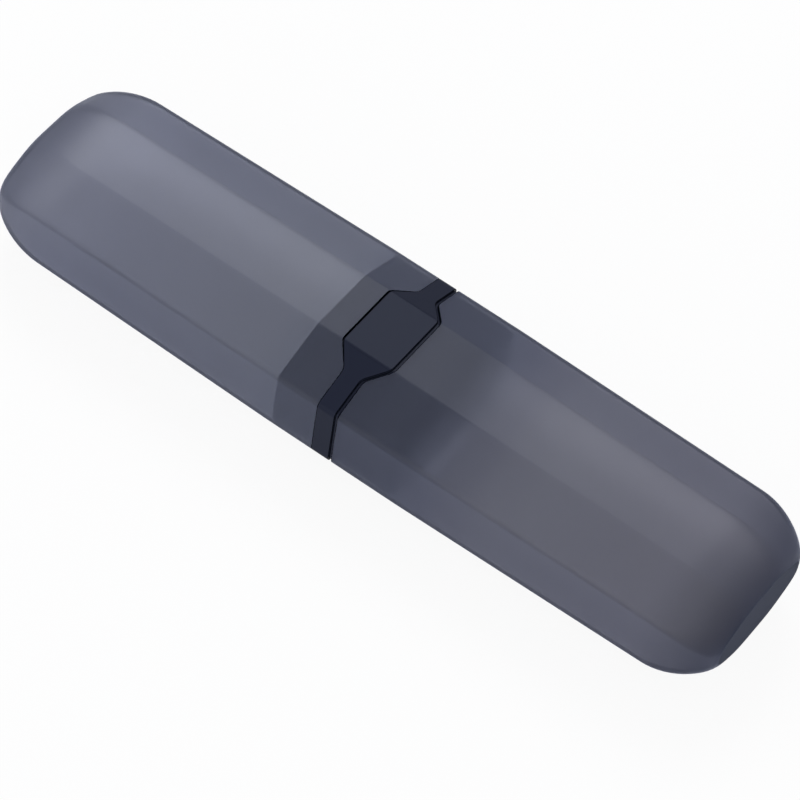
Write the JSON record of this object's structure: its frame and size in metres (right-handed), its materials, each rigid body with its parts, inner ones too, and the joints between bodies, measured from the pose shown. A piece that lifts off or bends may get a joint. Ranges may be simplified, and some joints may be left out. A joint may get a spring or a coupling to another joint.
{
  "type": "toothbrush travel case",
  "caption": "Slim eight-sided travel case: two frosted shells that pull apart over an inner sleeve, with a dark collar band and plate between them.",
  "frame": {"origin": "centre of the case's footprint, on the back flat that it lies on, at the seam where the lower shell pulls off", "axes": "+X along the case towards the flat base of the lower shell, +Z out of the front flat, +Y across the case"},
  "size_m": [0.248, 0.058, 0.036],
  "materials": {
    "frosted_light": "frosted translucent smoky plastic",
    "frosted_dark": "frosted translucent smoky plastic, darker",
    "collar": "satin moulded plastic",
    "sleeve": "satin moulded plastic"
  },
  "bodies": {
    "upper_half": {"upper_shell": "frosted_light", "collar_band": "collar", "inner_sleeve": "sleeve"},
    "lower_half": {"lower_shell": "frosted_dark"}
  },
  "joints": [
    {"name": "lower_shell_pull", "type": "slide", "parent": "upper_half", "child": "lower_half", "axis": [1, 0, 0], "range_m": [0, 0.13]}
  ]
}
